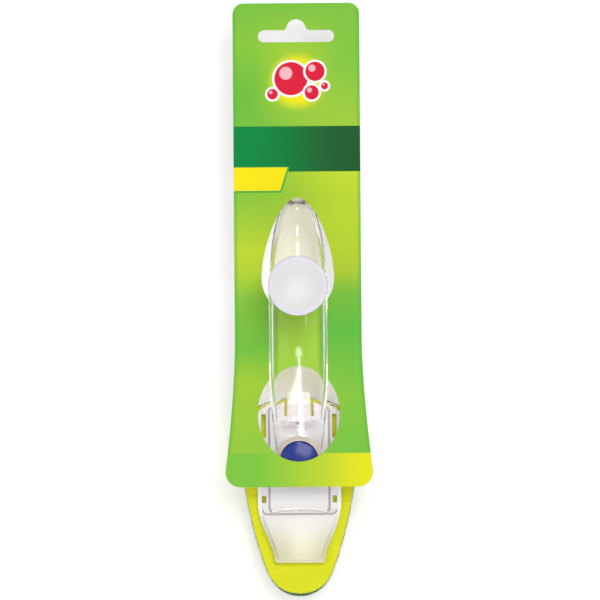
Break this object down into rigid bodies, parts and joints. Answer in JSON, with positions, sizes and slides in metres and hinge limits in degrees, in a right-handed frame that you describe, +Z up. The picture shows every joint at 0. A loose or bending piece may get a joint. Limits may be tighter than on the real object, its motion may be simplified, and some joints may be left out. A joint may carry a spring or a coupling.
{
  "type": "dish wand",
  "caption": "Soap-dispensing dish wand: clear arched hollow handle with filler cap, push-button valve, slide-on sponge and scouring pad, hung on a slotted flat card.",
  "frame": {"origin": "on the floor, under the middle of the whole: the wand lies on its scouring pad and its tail", "axes": "+Z up to the crown of the arched handle, +Y from the refill's tip to the card's hang slot, +X to the right of that"},
  "size_m": [0.0828, 0.3326, 0.066],
  "materials": {
    "clear_plastic": "clear moulded polystyrene, polished",
    "white_plastic": "moulded polypropylene, satin",
    "cap_plastic": "moulded polyethylene, satin",
    "blue_plastic": "moulded polypropylene, gloss",
    "ring_plastic": "moulded, satin",
    "black_rubber": "moulded nitrile rubber",
    "spring_steel": "drawn stainless wire",
    "yellow_sponge": "open-cell cellulose-like foam",
    "green_scour": "non-woven abrasive fibre",
    "printed_card": "coated printed board, green on one side"
  },
  "bodies": {
    "handle": {"handle_upper_shell": "clear_plastic", "handle_lower_shell": "clear_plastic", "head_plate": "clear_plastic", "valve_seat": "black_rubber", "button_spring": "spring_steel", "button_ring": "ring_plastic", "hang_card": "printed_card"},
    "cap": {"filler_cap": "cap_plastic", "cap_seal": "black_rubber"},
    "button": {"dispense_button": "blue_plastic", "valve_stem": "white_plastic", "button_seal": "black_rubber"},
    "refill": {"refill_base": "white_plastic", "sponge": "yellow_sponge", "scour_pad": "green_scour"}
  },
  "joints": [
    {"name": "cap_lift", "type": "slide", "parent": "handle", "child": "cap", "axis": [0, 0, 1], "range_m": [0, 0.03]},
    {"name": "button_press", "type": "slide", "parent": "handle", "child": "button", "axis": [0, 0, -1], "range_m": [0, 0.002], "stiffness_N_per_m": 500, "deforming": ["button_spring"]},
    {"name": "refill_slide", "type": "slide", "parent": "handle", "child": "refill", "axis": [0, -1, 0], "range_m": [0, 0.07]}
  ]
}
